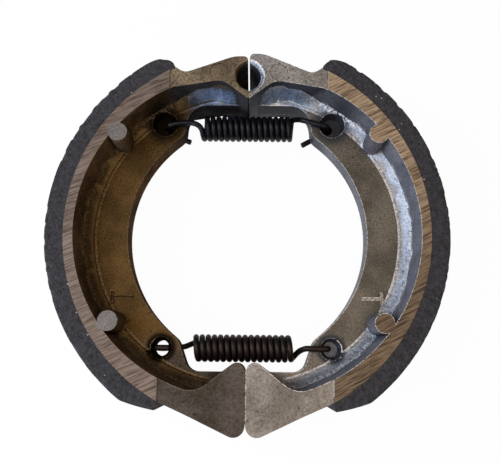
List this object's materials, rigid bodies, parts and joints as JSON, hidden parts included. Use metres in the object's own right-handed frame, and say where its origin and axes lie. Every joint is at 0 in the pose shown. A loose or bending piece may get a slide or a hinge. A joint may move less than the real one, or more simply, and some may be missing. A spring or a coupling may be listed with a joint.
{
  "type": "drum brake shoe set",
  "caption": "Pair of die-cast aluminium drum brake shoes with bonded linings, held together by coiled return springs, for a small motorcycle drum 110 mm across",
  "frame": {"origin": "brake axis, in the plane the set lies on", "axes": "+Z along the brake axis towards the side with the posts, +Y towards the anchor pin, +X towards the right shoe"},
  "size_m": [0.1052, 0.101, 0.025],
  "materials": {
    "cast_aluminium_left": "die-cast aluminium, dull and warm grey, with ground side faces",
    "cast_aluminium_right": "die-cast aluminium, dull and grey, with ground side faces",
    "friction_lining": "moulded friction lining, dark grey, matt, with pale specks and chipped edges",
    "black_spring_wire": "blackened spring steel wire",
    "brown_spring_wire": "blackened spring steel wire, slightly brown"
  },
  "bodies": {
    "left": {"left_shoe": "cast_aluminium_left", "left_lining": "friction_lining", "upper_spring": "black_spring_wire", "lower_spring": "brown_spring_wire"},
    "right": {"right_shoe": "cast_aluminium_right", "right_lining": "friction_lining"}
  },
  "joints": [
    {"name": "anchor_hinge", "type": "hinge", "parent": "left", "child": "right", "pos_m": [0, 0.0423, 0.0125], "axis": [0, 0, 1], "range_deg": [0, 5], "stiffness_Nm_per_rad": 30, "springref_deg": -2.86, "deforming": ["upper_spring", "lower_spring"]}
  ]
}
